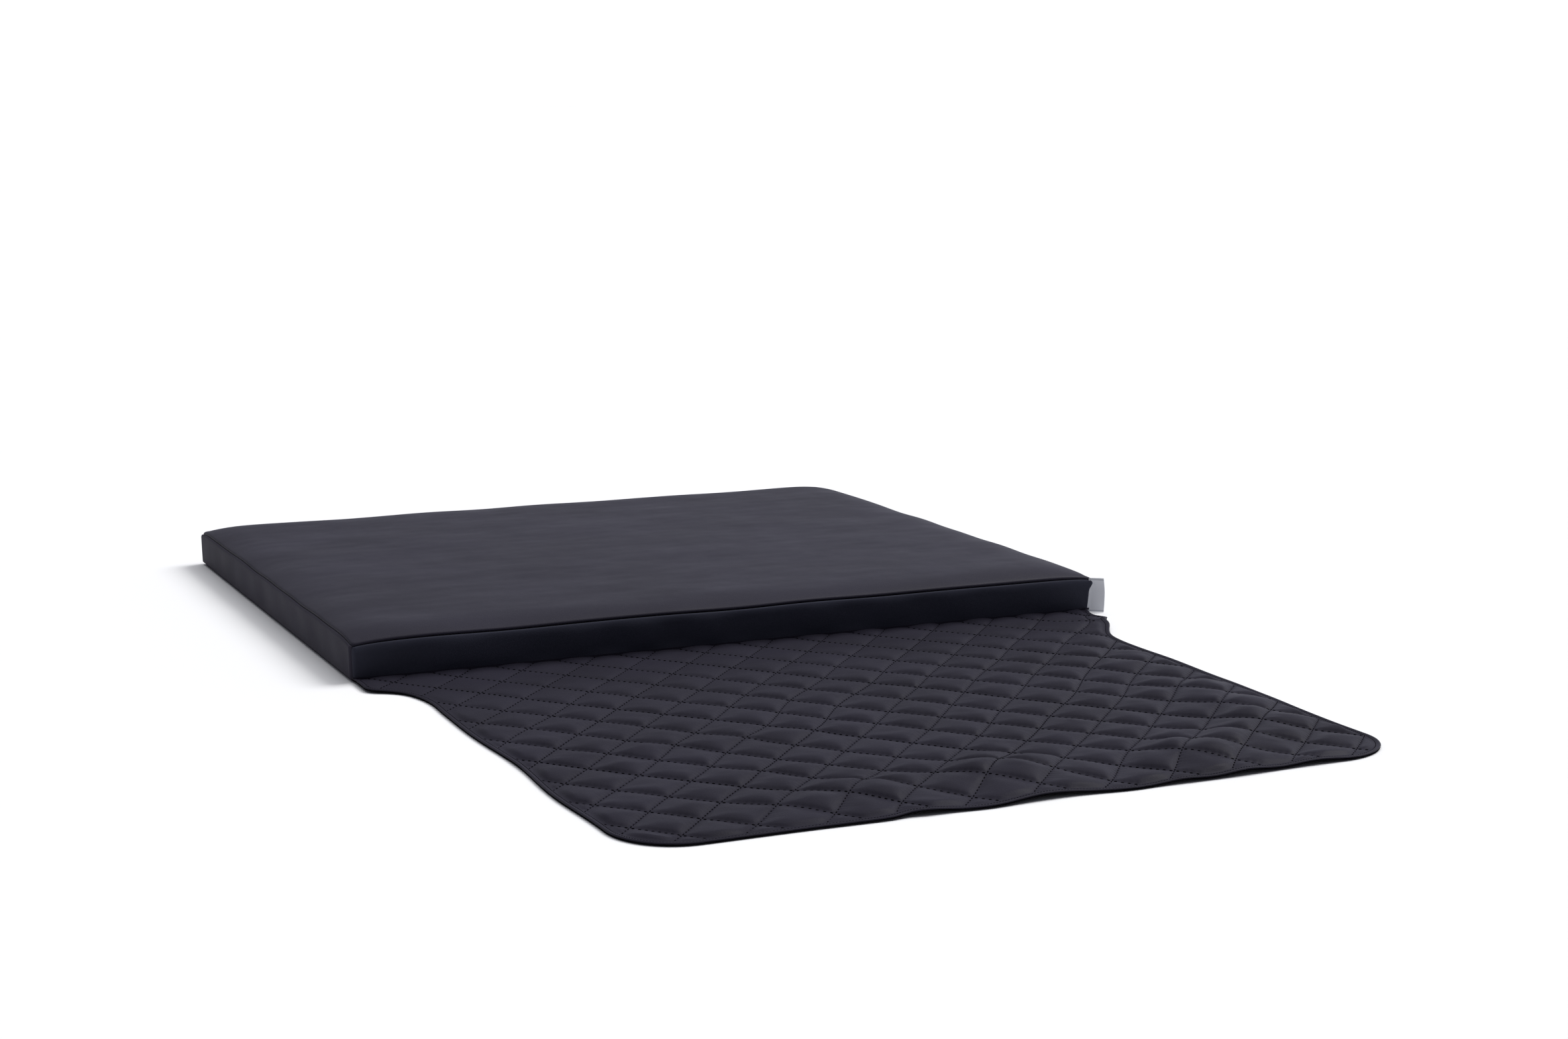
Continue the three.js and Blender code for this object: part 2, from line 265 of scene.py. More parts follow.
FRONT_CORNER = 6 * MM  # plan radius of the cover's corners at the front
BACK_CORNER = 9 * MM
OPENING_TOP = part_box("back_gusset_upper_strip")[0].z  # of the zip's opening in the back
OPENING_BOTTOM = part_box("back_gusset_lower_strip")[1].z
OPENING_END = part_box("back_gusset_lower_strip")[1].x
CROWN = 7.5 * MM  # how far the top rises inside its seams
CROWN_RUN = 70 * MM  # and over what distance
DOME = 2.0 * MM  # its further rise to the middle


def seam_height(x, y):
    """The top seam's height round the mattress: a little slack between its corners, which pull it down."""
    from_corner = np.hypot(HALF_WIDTH - np.abs(x), BACK - np.abs(y))
    sag = 4.5 * MM * np.exp(-from_corner / (24 * MM))
    return SEAM + 2.3 * MM - sag + 0.35 * MM * ripple(x, y, 0.16, 3)


def top_height(x, y):
    """The crowned top's height, without its rolled edge."""
    side = np.clip((HALF_WIDTH - np.abs(x)) / CROWN_RUN, 0, 1)
    end = np.clip((BACK - np.abs(y)) / CROWN_RUN, 0, 1)
    crown = CROWN * (1 - (1 - side) ** 2.6) * (1 - (1 - end) ** 2.6)
    dome = DOME * (1 - (x / HALF_WIDTH) ** 2) * (1 - (y / BACK) ** 2)
    inset = np.minimum(HALF_WIDTH - np.abs(x), BACK - np.abs(y))
    inside = smooth(4 * MM, 40 * MM, inset)
    droop = 1.6 * MM * np.exp(-inset / (8 * MM))
    creases = 0.2 * MM * ripple(x, y, 0.12, 5, stretch=(2.2, 1))
    creases += 0.07 * MM * ripple(x, y, 0.035, 6, stretch=(3, 1))
    return seam_height(x, y) + crown + dome - droop + inside * creases


def edge_steps(half, roll, spacing):
    """Insets from one side to the other: the rolled edge's, then even ones, then the rolled edge's again."""
    first = roll[-1][0] * MM
    count = int((half - first) / spacing)
    inner = first + (half - first) * np.arange(1, count + 1) / count
    near = np.concatenate([[inset * MM for inset, _ in roll], inner])
    drop = np.concatenate([[z * MM for _, z in roll], np.zeros(count)])
    side = np.concatenate([-np.ones(len(near)), np.ones(len(near) - 1)])
    inset = np.concatenate([near, near[-2::-1]])
    return side * (half - inset), np.concatenate([drop, drop[-2::-1]])


def round_corners(x, y, half_x, half_y):
    """Moves points near a rectangle's corners in, so that its corners are as round as the cover's."""
    radius = np.where(y > 0, BACK_CORNER, FRONT_CORNER)
    over_x = np.abs(x) - (half_x - radius)
    over_y = np.abs(y) - (half_y - radius)
    corner = (over_x > 0) & (over_y > 0)
    reach = np.hypot(over_x, over_y)
    shrink = np.where(corner, np.maximum(over_x, over_y) / np.maximum(reach, 1e-9), 1)
    new_x = np.where(corner, np.sign(x) * (half_x - radius + over_x * shrink), x)
    new_y = np.where(corner, np.sign(y) * (half_y - radius + over_y * shrink), y)
    return new_x, new_y


def wide_sheet(name, half_x, half_y, roll, height, material, spacing, up=1):
    """A sheet over a rounded rectangle whose edge rolls over by the points of roll, down or up."""
    xs, drop_x = edge_steps(half_x, roll, spacing)
    ys, drop_y = edge_steps(half_y, roll, spacing)
    x, y = np.meshgrid(xs, ys)
    drop = np.minimum(*np.meshgrid(drop_x, drop_y))
    x, y = round_corners(x, y, half_x, half_y)
    points = np.stack([x, y, height(x, y) + up * drop], -1)
    faces = grid_faces(len(ys), len(xs))
    if up < 0:
        faces = faces[:, ::-1]
    return make_piece(name, points, faces, material, np.stack([x, y], -1).reshape(-1, 2))


# Rolled edges from the seam inwards: inset and drop of each point, in mm
TOP_ROLL = [(5.0, -4.6), (3.2, -4.3), (1.9, -3.4), (1.3, -2.2), (1.5, -1.0), (2.4, -0.1), (4.0, 0.4),
            (6.5, 0.3)]
BASE_ROLL = [(2.5, -3.4), (0.6, -3.0), (0, -1.8), (0.4, -0.7), (1.6, -0.1), (3.0, 0)]


def add_top():
    top = wide_sheet("top_cover", HALF_WIDTH - 0.5 * MM, BACK - 0.5 * MM, TOP_ROLL, top_height, COVER, 4 * MM)
    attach(top, "mattress")
    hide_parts("top_panel", "core_wadding")


def base_height(x, y):
    """The flat underside, just off the floor."""
    return np.full(x.shape, 0.25 * MM)


def add_base():
    base = wide_sheet("base_cloth", BASE_HIGH.x, BASE_HIGH.y - 1.5 * MM, BASE_ROLL, base_height, BACKING,
                      12 * MM, up=-1)
    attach(base, "mattress")
    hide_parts("base_panel")


def rim_path(spacing):
    """The cover's plan outline from the middle of the front left corner, anticlockwise: points and
    outward normals of its four sides, each from the middle of one corner to the middle of the next."""
    sides = []
    turns = np.radians(np.linspace(0, 45, 8))
    radii = [FRONT_CORNER, FRONT_CORNER, BACK_CORNER, BACK_CORNER]
    for quarter, (along, across) in enumerate([(HALF_WIDTH, BACK), (BACK, HALF_WIDTH)] * 2):
        r0, r1 = radii[quarter], radii[(quarter + 1) % 4]
        start, end = -along + r0, along - r1
        close = np.array([0.5, 1.2, 2, 3, 4.5, 6.5, 9]) * MM
        even = np.arange(start + 12 * MM, end - 12 * MM, spacing)
        run = np.concatenate([start + close, even, end - close[::-1]])
        first = [(start - r0 * math.sin(t), -across + r0 - r0 * math.cos(t), -t) for t in turns[::-1]]
        last = [(end + r1 * math.sin(t), -across + r1 - r1 * math.cos(t), t) for t in turns]
        local = first + [(r, -across, 0.0) for r in run] + last
        place = np.array([(u, v) for u, v, _ in local])
        lean = np.array([t for _, _, t in local])
        turn = quarter * math.pi / 2
        spin = np.array([[math.cos(turn), -math.sin(turn)], [math.sin(turn), math.cos(turn)]])
        normal = np.stack([np.sin(lean), -np.cos(lean)], 1)
        sides.append((place @ spin.T, normal @ spin.T))
    return sides


def side_profile(height, belly, ridge, ridge_depth, groove):
    """A side panel's section: outsets and heights over its bottom seam, up to its seam with the top, where
    it turns in, groove below the seam, over a soft ridge that stands out by ridge and reaches ridge_depth
    down."""
    low = [(-3.0, 0.0), (-1.2, 0.1), (-0.2, 0.7), (0.2, 1.8), (0.3, 3.2)]
    turns = np.radians(np.linspace(90, 0, 8))
    over = ridge - (ridge + 0.8 * MM) * (1 - np.sin(turns))
    depth = groove + (ridge_depth - groove) * (1 - np.cos(turns))
    middle = np.linspace(3.2 * MM, height - ridge_depth, 12)[1:-1]
    between = np.linspace(0.3 * MM, ridge, 12)[1:-1]
    outset = np.concatenate([[o * MM for o, _ in low], between, over, [-2.2 * MM, -4.2 * MM]])
    tucked = [height - groove - 0.2 * MM, height - groove - 0.8 * MM]
    rise = np.concatenate([[z * MM for _, z in low], middle, height - depth, tucked])
    return outset + belly * np.sin(np.pi * np.clip(rise / height, 0, 1)), rise


def label_corner_bulge(x, y, share):
    """The slack of the front right corner: the cover stands out high up and is drawn in at the bottom."""
    near = np.exp(-np.hypot(HALF_WIDTH - x, y - FRONT) / (28 * MM))
    return near * (6.5 * MM * bump(share, 0, (0.84, 0), (0.15, 1)) - 0.4 * MM * smooth(0.5, 0.05, share))


def side_points(path, bottom, drop, belly, ridge, ridge_depth, groove, seed):
    """A side panel's points, column by column, and their places on its flat pattern. The bottom seam is
    drop lower away from the panel's ends."""
    place, normal = path
    steps = np.hypot(*np.diff(place, axis=0).T)
    run = np.concatenate([[0], np.cumsum(steps)])
    ends = np.minimum(run, run[-1] - run)
    rows = []
    z_low = bottom - drop * smooth(0, 25 * MM, ends)
    tops = seam_height(place[:, 0], place[:, 1])
    for column, ((x, y), (nx, ny)) in enumerate(zip(place, normal)):
        height = tops[column] - z_low[column]
        slack = belly * min(1, ends[column] / (60 * MM))
        outset, rise = side_profile(height, slack, ridge, ridge_depth, groove)
        rows.append(np.stack([x + nx * outset, y + ny * outset, z_low[column] + rise], 1))
    points = np.array(rows)
    wrinkle = 0.5 * MM * ripple(run[:, None], points[:, :, 2], 0.09, seed, stretch=(1, 1.4))
    share = (points[:, :, 2] - z_low[:, None]) / (tops - z_low)[:, None]
    wrinkle *= smooth(4 * MM, 30 * MM, ends)[:, None] * smooth(0.02, 0.3, share) * smooth(0.95, 0.65, share)
    seam_dip = -1.2 * MM * np.exp(-(ends / (1.2 * MM)) ** 2)
    seam_dip += 0.4 * MM * np.exp(-((ends - 4 * MM) / (2 * MM)) ** 2)
    points[:, :, :2] += normal[:, None, :] * (wrinkle + seam_dip[:, None])[:, :, None]
    points[:, :, 0] += label_corner_bulge(points[:, :, 0], points[:, :, 1], share)
    flat = np.stack(np.broadcast_arrays(run[:, None], points[:, :, 2]), -1)
    return points, flat


def side_panel(name, points, flat, node_names, material):
    """One panel of the cover's side from its points."""
    piece = make_piece(name, points, grid_faces(*points.shape[:2]), material, flat.reshape(-1, 2))
    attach(piece, "mattress")
    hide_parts(*node_names)


# The sides' sections, in the words of side_points()
FRONT_SHAPE = dict(drop=2.0 * MM, belly=1.0 * MM, ridge=1.8 * MM, ridge_depth=13 * MM, groove=4.6 * MM)
FLANK_SHAPE = dict(drop=0, belly=1.0 * MM, ridge=1.1 * MM, ridge_depth=7 * MM, groove=3.4 * MM)
BACK_SHAPE = {**FLANK_SHAPE, "belly": 0.4 * MM}


def add_sides():
    front, right, back, left = rim_path(5 * MM)
    low = BASE_HIGH.z - 0.2 * MM
    side_panel("front_side", *side_points(front, low, seed=21, **FRONT_SHAPE), ["front_gusset"], COVER_SIDE_PAINTED_LIGHT)
    side_panel("right_side", *side_points(right, low, seed=22, **FLANK_SHAPE), ["right_gusset"], COVER_FLANK_PAINTED_LIGHT)
    side_panel("left_side", *side_points(left, low, seed=24, **FLANK_SHAPE), ["left_gusset"], COVER_FLANK_PAINTED_LIGHT)
    points, flat = side_points(back, low, seed=23, **BACK_SHAPE)
    x = points[:, 0, 0]
    for part, chosen in [("left", x < -OPENING_END), ("right", x > OPENING_END)]:
        node = f"back_gusset_{part}_end"
        side_panel(f"back_side_{part}_end", points[chosen], flat[chosen], [node], COVER_FLANK_PAINTED_LIGHT)
    between = np.abs(x) < OPENING_END + 6 * MM
    for part, opening, sign in [("upper", OPENING_TOP, 1), ("lower", OPENING_BOTTOM, -1)]:
        strip, pattern = turned_in(points[between], flat[between], opening, sign)
        side_panel(f"back_side_{part}_strip", strip, pattern, [f"back_gusset_{part}_strip"], COVER_FLANK_PAINTED_LIGHT)
        add_zip_stitches(part, points[between], opening + sign * 3 * MM)


def add_zip_stitches(part, points, z):
    """A row of stitches at height z that holds one tape of the zip to the back."""
    x = np.arange(-OPENING_END + 4 * MM, OPENING_END - 2 * MM, 3.4 * MM)
    surface = [np.interp(z, np.sort(column[:, 2]), column[np.argsort(column[:, 2]), 1]) for column in points]
    order = np.argsort(points[:, 0, 0])
    y = np.interp(x, points[order, 0, 0], np.array(surface)[order]) + 0.15 * MM
    spots = np.stack([x, y, np.full(x.shape, z)], 1)
    direction = np.tile([1.0, 0, 0], (len(x), 1))
    row = capsules(f"zip_stitches_{part}", spots, direction, 2.3 * MM, 1.0 * MM, 0.8 * MM, THREAD)
    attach(row, "mattress")


def turned_in(points, flat, opening, sign):
    """The part of a panel above (sign 1) or below (-1) the zip's opening, turned in along the zip."""
    keep = (points[:, :, 2].mean(0) - opening) * sign > 2 * MM
    points, flat = points[:, keep], flat[:, keep]
    edge = points[:, 0 if sign > 0 else -1]
    hem = np.array([(1.1, 0.0), (0.4, -0.25), (0.0, -0.9), (0.2, -1.7), (1.5, -2.2)]) * MM
    height = np.broadcast_to(opening + sign * hem[:, 0], (len(points), len(hem)))
    turn = np.stack([edge[:, :1] + 0 * height, edge[:, 1:2] + hem[:, 1], height], -1)
    seam = np.stack([flat[:, :1, 0] + 0 * height, height], -1)
    if sign > 0:
        return np.concatenate([turn[:, ::-1], points], 1), np.concatenate([seam[:, ::-1], flat], 1)
    return np.concatenate([points, turn], 1), np.concatenate([flat, seam], 1)


# ---------------------------------------------------------------- apron

SIDE_X = 78.7 * MM  # a quilting diamond's width, across
SIDE_D = 90.7 * MM  # and its length, outwards
NODE_X = -418 * MM  # a crossing of quilting lines
NODE_D = 74.6 * MM
LINE_GAP = 59.4 * MM  # from one quilting line to the next
STITCHES = 8  # along a diamond's side
PUFF = 5.5 * MM  # how far a full puff rises
PUFF_LEAN = 1.4  # above 1, the puffs are fuller on the side away from the mattress
PRESSED = 2.2 * MM  # the sheet's thickness where it is stitched
RIM = 9 * MM  # the rolled edge's width on the flat pattern
TOPSTITCH = 5.5 * MM  # from the edge to its row of stitches
SHOULDER_D = 46 * MM  # where the sheet starts to narrow from RISER_HALF to APRON_HALF
SHOULDER_R = 22 * MM
SHOULDER_TURN = math.radians(60)
NECK_R = 54 * MM
NECK_TAIL_R = 200 * MM
NECK_TAIL_TURN = math.radians(20)
FREE_CORNER = 75 * MM
SPLIT_D = FRONT - (LOW_FOLD.y + HIGH_FOLD.y) / 2  # the near and main pieces meet between the two folds

# Soft humps in the sheet as it lies: x, d, length along x, length along d, height, all in mm
HUMPS = [
    (-155, 690, 55, 48, 10),
    (-240, 700, 45, 40, 4.5),
    (3, 680, 70, 54, 13.5),
    (228, 695, 58, 46, 13),
    (300, 650, 50, 38, 8),
    (365, 600, 45, 45, 7),
    (380, 520, 40, 50, 7),
    (385, 440, 40, 40, 5),
    (370, 290, 50, 45, 3),
    (-200, 433, 190, 20, 2),
    (-210, 575, 60, 20, 2),
    (-130, 765, 30, 30, 3.2),
    (5, 765, 40, 34, 3.5),
    (160, 765, 28, 30, 2.4),
    (240, 765, 30, 32, 3.2),
    (330, 765, 36, 30, 3.2),
]
# Where the free edge lies further out, in the same way: x, d, length along x, length along d, distance
JUTS = [
    (-60, 765, 36, 60, 5),
    (98, 765, 30, 60, 3),
    (-150, 765, 16, 60, -3),
    (30, 765, 30, 60, -2),
]


def arc(start, radius, first, last, count):
    """Points of an arc that goes on from start, turning from the angle first to last."""
    x, d = start[0] - radius * math.cos(first), start[1] - radius * math.sin(first)
    turns = np.linspace(first, last, count)[1:]
    return [(x + radius * math.cos(turn), d + radius * math.sin(turn)) for turn in turns]


def apron_outline(inset):
    """The right half of the flat pattern's outline moved in by inset: d and x of its points."""
    arcs = [
        (SHOULDER_R - inset, 0, SHOULDER_TURN),
        (-NECK_R - inset, SHOULDER_TURN, NECK_TAIL_TURN),
        (-NECK_TAIL_R - inset, NECK_TAIL_TURN, 0),
    ]
    by_arcs = sum(radius * (math.cos(start) - math.cos(end)) for radius, start, end in arcs)
    slope = RISER_HALF - APRON_HALF - by_arcs
    path = [(RISER_HALF - inset, -40 * MM), (RISER_HALF - inset, SHOULDER_D)]
    for radius, start, end in arcs:
        if start == SHOULDER_TURN:
            x, d = path[-1]
            path.append((x - slope, d + slope / math.tan(SHOULDER_TURN)))
        path += arc(path[-1], radius, start, end, 10)
    path.append((APRON_HALF - inset, REACH - FREE_CORNER))
    path += arc(path[-1], FREE_CORNER - inset, 0, math.pi / 2, 60)
    xs, ds = np.array(path).T
    return ds, xs


def gather(x, d):
    """How far the waves have drawn the quilting lines together, to the left and towards the mattress."""
    share = np.clip((x + APRON_HALF) / (830 * MM), 0, 1.2) ** 2
    return 0.022 * np.maximum(d - 300 * MM, 0) * share, 0.065 * np.maximum(d - 520 * MM, 0)


def quilt_cell(x, d):
    """Where a point of the sheet lies among the quilting lines, which are at whole numbers."""
    left, near = gather(x, d)
    across = (x + left - NODE_X) / SIDE_X
    out = (d + near - NODE_D) / SIDE_D
    return across + out, across - out


def ungather(x, d):
    """The place on the sheet of a point of the even quilting pattern."""
    laid_x, laid_d = x, d
    for _ in range(8):
        left, near = gather(laid_x, laid_d)
        laid_x, laid_d = x - left, d - near
    return laid_x, laid_d


def humps(rows, x, d):
    """The sum of a table's rounded humps."""
    return sum(h * MM * bump(x, d, (x0 * MM, d0 * MM), (lx * MM, ld * MM)) for x0, d0, lx, ld, h in rows)


def lift(x, d):
    """Height of the sheet's underside over the floor as it lies, with its slope off the seam."""
    waves = smooth(60 * MM, 200 * MM, d) * humps(HUMPS, x, d)
    seam = 1.2 * MM * (1 - smooth(-2 * MM, 20 * MM, d))
    left = 2.5 * MM * bump(x, d, (-0.49, 0.03), (0.03, 0.04))
    right = 6 * MM * bump(x, d, (0.47, 0.095), (0.045, 0.04))
    off_crease = (x - 0.48) * 0.5 - (d - 0.085)
    crease = 1.2 * MM * np.exp(-(off_crease / (5 * MM)) ** 2) * bump(x, d, (0.455, 0.072), (0.03, 0.04))
    return seam + waves + (left + right + crease) * smooth(0, 12 * MM, d) + 0.2 * MM


CELL_STEPS = 32  # points along a diamond's side in the simulated patch
PATCH_CELLS = 4  # diamonds along the patch's side
CLOTH_FRAMES = 24


def stitched_points(count):
    """Which points of the patch are held: its border, the crossings and the stitches of its lines."""
    ticks = np.arange(count)
    on_line = ticks % CELL_STEPS == 0
    in_stitch = np.isin(ticks % (CELL_STEPS // STITCHES), [1, 2])
    held = (on_line[:, None] & in_stitch[None]) | (on_line[None] & in_stitch[:, None])
    held |= (on_line[:, None] & on_line[None])
    held[[0, -1]] = held[:, [0, -1]] = True
    return held


def add_cloth(skin, held):
    """Makes skin a thin, shrunken cloth whose held points stay where they are."""
    group = skin.vertex_groups.new(name="stitched")
    group.add([int(i) for i in np.flatnonzero(held.ravel())], 1.0, "REPLACE")
    cloth = skin.modifiers.new("cloth", "CLOTH")
    cloth.settings.quality = 6
    cloth.settings.mass = 0.15
    cloth.settings.tension_stiffness = 25
    cloth.settings.compression_stiffness = 10
    cloth.settings.shear_stiffness = 8
    cloth.settings.bending_stiffness = 0.9
    cloth.settings.vertex_group_mass = "stitched"
    cloth.settings.shrink_min = -0.014
    cloth.collision_settings.use_collision = False
    cloth.point_cache.frame_end = CLOTH_FRAMES


def simulate_patch():
    """Inflates a patch of skin that is held down at its stitches only, by cloth simulation. Returns the
    skin's height over the patch, where a full puff is about 1 high."""
    count = PATCH_CELLS * CELL_STEPS + 1
    a, b = np.meshgrid(np.arange(count) / CELL_STEPS, np.arange(count) / CELL_STEPS, indexing="ij")
    start = 0.6 * PUFF * plain_pillow(a, b) * (1 + 0.1 * ripple(a, b, 0.4, 51))
    points = np.stack([(a + b) / 2 * SIDE_X, (a - b) / 2 * SIDE_D, start], -1)
    skin = make_piece("patch", points, grid_faces(count, count), QUILT)
    add_cloth(skin, stitched_points(count))
    scene = bpy.context.scene
    scene.gravity = (0, 0, 30)
    for step in range(1, CLOTH_FRAMES + 1):
        scene.frame_set(step)
    shape = skin.evaluated_get(bpy.context.evaluated_depsgraph_get()).to_mesh()
    after = np.empty(3 * count * count, np.float32)
    shape.vertices.foreach_get("co", after)
    scene.frame_set(1)
    scene.gravity = (0, 0, -9.81)
    bpy.data.objects.remove(skin)
    height = after.reshape(count, count, 3)[:, :, 2]
    for _ in range(2):
        height[1:-1] = (height[:-2] + 2 * height[1:-1] + height[2:]) / 4
        height[:, 1:-1] = (height[:, :-2] + 2 * height[:, 1:-1] + height[:, 2:]) / 4
    full = height[CELL_STEPS // 2::CELL_STEPS, CELL_STEPS // 2::CELL_STEPS].mean()
    return (np.clip(height, 0, 1.6 * full) / full) ** 0.8


def plain_pillow(a, b):
    """The height of a puff without simulation, from 0 on the quilting lines to 1 in its middle."""
    off_a = 1 - np.abs(2 * (a % 1) - 1)
    off_b = 1 - np.abs(2 * (b % 1) - 1)
    return ((1 - (1 - off_a) ** 2.6) * (1 - (1 - off_b) ** 2.6)) ** 0.8


def pillow(a, b):
    """The height of the puffs, from 0 to about 1, at places among the quilting lines. They are fuller
    on the side away from the mattress."""
    a = np.floor(a) + (a % 1) ** PUFF_LEAN
    b = np.floor(b) + 1 - (1 - b % 1) ** PUFF_LEAN
    if RELIEF is None:
        return plain_pillow(a, b)
    row = (a % PATCH_CELLS) * CELL_STEPS
    column = (b % PATCH_CELLS) * CELL_STEPS
    r0 = np.minimum(row.astype(int), len(RELIEF) - 2)
    c0 = np.minimum(column.astype(int), len(RELIEF) - 2)
    r, c = row - r0, column - c0
    near = RELIEF[r0, c0] * (1 - c) + RELIEF[r0, c0 + 1] * c
    far = RELIEF[r0 + 1, c0] * (1 - c) + RELIEF[r0 + 1, c0 + 1] * c
    return near * (1 - r) + far * r


def thickness(x, d, edge):
    """Thickness of the quilted sheet at a point that lies edge inside the outline."""
    a, b = quilt_cell(x, d)
    calm = smooth(TOPSTITCH, TOPSTITCH + 11 * MM, edge)
    fullness = 0.28 + 0.72 * np.clip(d / (330 * MM) + 0.35 * (x + APRON_HALF) / (2 * APRON_HALF), 0, 1)
    fullness = fullness * (1 + 0.08 * ripple(x, d, 0.06, 33))
    pressed = stitch_pinch(a, b)
    return PRESSED + calm * (PUFF * fullness * pillow(a, b) * (1 - pressed) - 0.3 * MM * pressed)


def stitch_pinch(a, b):
    """1 at the middle of each stitch of a quilting line, fading to 0 away from it."""
    total = 0
    for across, along in [(a, b), (b, a)]:
        off = (across - np.round(across)) * LINE_GAP
        dimple = 0.7 + 0.3 * np.cos(2 * np.pi * STITCHES * along + np.pi)
        total = total + np.exp(-(off / (2.6 * MM)) ** 2) * dimple
    return np.clip(total, 0, 1)


def lay(x, d):
    """Plan place of a point of the flat pattern: the sheet lies a little askew and its edges wander."""
    out = smooth(60 * MM, 200 * MM, d)
    share = np.clip((x + APRON_HALF) / (2 * APRON_HALF), 0, 1)
    lean = 4 * MM * out + 14 * MM * share * out * (d / REACH) ** 2
    wander_x = 1.5 * MM * ripple(x, d, 0.25, 41) * out
    wander_d = 1.5 * MM * ripple(x, d, 0.25, 42) * out
    filled = 15 * MM * bump(x, d, (0.46, 0.1), (0.05, 0.035))
    filled -= 11 * MM * bump(x, d, (0.5, 0.035), (0.05, 0.03))
    return x - lean + wander_x + filled, FRONT - (d + wander_d + humps(JUTS, x, d))


# The rolled edge of the face and of the backing: inset from the outline, height over the underside, in mm
FACE_EDGE = [(6.8, 2.9), (5.5, 2.7), (4.2, 3.1), (2.8, 3.7), (1.5, 3.9), (0.5, 3.5), (0.0, 2.8), (0.5, 2.25),
             (1.8, 2.1)]
BACK_EDGE = [(6.8, 0.0), (4.0, 0.0), (1.8, 0.15), (0.7, 0.5), (0.35, 1.1), (0.7, 1.6), (1.8, 1.9)]


def apron_grid(spacing):
    """Rows (d) and columns (shares of the half width) of the flat pattern inside its rolled edge, and the
    half width at each row."""
    ds, xs = apron_outline(RIM)
    rows = np.arange(-6 * MM, REACH - RIM - 1.2 * MM, spacing)
    rows = rows[np.abs(rows - SPLIT_D) > spacing / 2]
    fine = REACH - FREE_CORNER + (FREE_CORNER - RIM) * np.sin(np.radians([75, 80, 85, 90]))
    rows = np.sort(np.concatenate([rows[rows < fine[0] - 0.5 * MM], fine, [SPLIT_D]]))
    columns = np.linspace(-1, 1, int(2 * APRON_HALF / spacing))
    return rows, columns, np.interp(rows, ds, xs)


def rim_of(rows, half, columns):
    """The inner line of the rolled edge, down the left side, along the free edge and up the right, with
    the outward direction at each point."""
    left = [(-h, d) for d, h in zip(rows, half)]
    free = [(c * half[-1], rows[-1]) for c in columns[1:-1]]
    right = [(h, d) for d, h in zip(rows[::-1], half[::-1])]
    points = np.array(left + free + right)
    along = np.gradient(points, axis=0)
    outward = np.stack([-along[:, 1], along[:, 0]], 1)
    outward /= np.maximum(np.hypot(*outward.T)[:, None], 1e-12)
    return points, outward


def sheet_piece(name, rows, columns, half, top, edge_profile, material):
    """The face (top) or backing of the sheet over the given rows: an even grid and its rolled edge."""
    x = columns[None, :] * half[:, None]
    d = np.broadcast_to(rows[:, None], x.shape)
    inner, outward = rim_of(rows, half, columns)
    grid = np.arange(x.size).reshape(x.shape)
    ring = np.concatenate([grid[:, 0], grid[-1, 1:-1], grid[::-1, -1]])
    breaks = []
    if rows[-1] < REACH - 2 * RIM:  # no free edge here: only the two sides are rolled
        count = len(rows)
        sides = np.r_[:count, len(ring) - count:len(ring)]
        inner, outward, ring = inner[sides], outward[sides], ring[sides]
        breaks = [count - 1]
    flat = [np.stack([x.ravel(), d.ravel()], 1)]
    above = [(thickness(x, d, distance_inside(x, d)) if top else np.full(x.shape, 0.05 * MM)).ravel()]
    faces = [grid_faces(*x.shape)]
    for index, (inset, rise) in enumerate(edge_profile):
        flat.append(inner + outward * (RIM - inset * MM))
        above.append(np.full(len(inner), rise * MM))
        current = x.size + index * len(inner) + np.arange(len(inner))
        quads = np.stack([ring[:-1], ring[1:], current[1:], current[:-1]], 1)
        faces.append(np.delete(quads, breaks, 0))
        ring = current
    flat = np.concatenate(flat)
    points = np.stack([*lay(*flat.T), lift(*flat.T) + np.concatenate(above)], 1)
    piece = make_piece(name, points, np.concatenate(faces), material, flat)
    orient(piece, 1 if top else -1)
    return piece


def distance_inside(x, d):
    """How far points of the flat pattern lie inside its outline."""
    ds, xs = apron_outline(0)
    keep = ds > 0
    line = np.stack([xs[keep], ds[keep]], 1)
    line = np.concatenate([[[RISER_HALF, -20 * MM]], line, [[0, REACH]]])
    spots = np.stack([np.abs(x).ravel(), d.ravel()], 1)
    best = np.full(len(spots), 1.0)
    for start, end in zip(line[:-1], line[1:]):
        run = end - start
        share = np.clip(((spots - start) @ run) / max(run @ run, 1e-12), 0, 1)
        gap = spots - start - share[:, None] * run
        best = np.minimum(best, np.hypot(*gap.T))
    return best.reshape(x.shape)


def orient(piece, direction):
    """Turns a sheet's faces over, if need be, so that its first face looks up (1) or down (-1)."""
    mesh = piece.data
    if mesh.polygons[0].normal.z * direction < 0:
        mesh.flip_normals()


def add_apron():
    rows, columns, half = apron_grid(2.1 * MM)
    near = ("near", rows <= SPLIT_D + 1e-9, "riser", RISER_HALF)
    main = ("main", rows >= SPLIT_D - 1e-9, "apron", APRON_HALF)
    for part, chosen, node, widest in (near, main):
        pattern = (rows[chosen], columns, half[chosen])
        face = sheet_piece(f"quilted_face_{part}", *pattern, True, FACE_EDGE, QUILT)
        back = sheet_piece(f"backing_{part}", *pattern, False, BACK_EDGE, BACKING)
        bend(face)
        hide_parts(f"{node}_face", f"{node}_wadding")
        bend(back)
        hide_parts(f"{node}_backing")


def bend(piece):
    """Bakes the place of a piece of the near or main part of the apron into its mesh."""
    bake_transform(piece)


# ---------------------------------------------------------------- stitches

